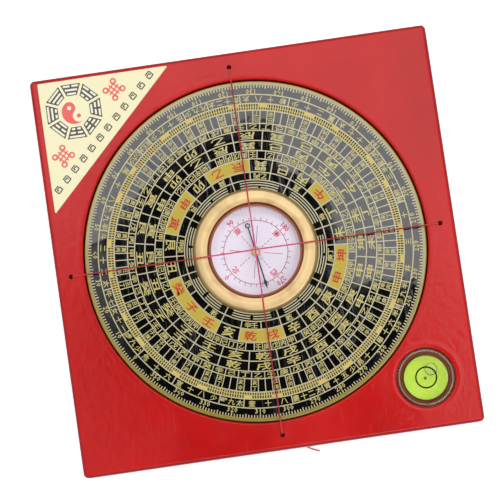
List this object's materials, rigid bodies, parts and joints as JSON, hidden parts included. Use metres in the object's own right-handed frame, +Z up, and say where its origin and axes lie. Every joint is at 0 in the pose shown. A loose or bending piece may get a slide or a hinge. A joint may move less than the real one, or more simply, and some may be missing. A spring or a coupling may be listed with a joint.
{
  "type": "feng shui compass",
  "caption": "Square board with a turning round dial, a needle compass under glass in its middle, a bubble level in a corner and crossed sighting threads.",
  "frame": {"origin": "under the middle of the board, in the plane that it rests on", "axes": "+Z up out of the dial's face, +Y towards the edge with the label, +X along that edge away from the label"},
  "size_m": [0.1208, 0.1227, 0.0167],
  "materials": {
    "red_lacquer": "glossy red lacquer",
    "back_lacquer": "satin red lacquer",
    "label_card": "printed cream card",
    "thread_red": "twisted red thread",
    "clear_acrylic": "clear polished acrylic",
    "level_green": "bright yellow-green plastic",
    "level_liquid": "yellow-green liquid",
    "air_bubble": "clear air",
    "black_dial": "glossy black, printed in gold",
    "black_wood": "black stained wood",
    "satin_brass": "satin turned brass",
    "compass_card": "printed pale card",
    "glass": "clear glass",
    "seal_rubber": "black rubber",
    "dark_steel": "blued steel",
    "bright_steel": "bright steel",
    "jewel": "polished agate"
  },
  "bodies": {
    "board": {"frame_board": "red_lacquer", "back_panel": "back_lacquer", "label": "label_card", "thread_lengthwise": "thread_red", "thread_crosswise": "thread_red", "knot_top": "thread_red", "knot_bottom": "thread_red", "knot_left": "thread_red", "knot_right": "thread_red", "thread_tail": "thread_red", "level_body": "clear_acrylic", "level_base": "level_green"},
    "dial": {"dial_disc": "black_wood", "dial_plate": "black_dial", "compass_housing": "satin_brass", "compass_card": "compass_card", "pivot_post": "satin_brass", "pivot_pin": "bright_steel", "lens": "glass", "lens_seal": "seal_rubber", "bezel": "satin_brass"},
    "needle": {"needle": "dark_steel", "needle_cap": "satin_brass", "cap_jewel": "jewel"},
    "level_liquid": {"level_fluid": "level_liquid"},
    "bubble": {"level_bubble": "air_bubble"}
  },
  "joints": [
    {"name": "dial_turn", "type": "hinge", "parent": "board", "child": "dial", "pos_m": [0, 0, 0.008], "axis": [0, 0, 1], "continuous": true},
    {"name": "needle_swing", "type": "hinge", "parent": "dial", "child": "needle", "pos_m": [0, 0, 0.0096], "axis": [0, 0, 1], "continuous": true},
    {"name": "level_swirl", "type": "hinge", "parent": "board", "child": "level_liquid", "pos_m": [0.04495, -0.0452, 0.0096], "axis": [0, 0, 1], "continuous": true},
    {"name": "bubble_drift", "type": "slide", "parent": "level_liquid", "child": "bubble", "axis": [0.6293, 0.7771, 0], "range_m": [-0.003, 0.0014]}
  ]
}
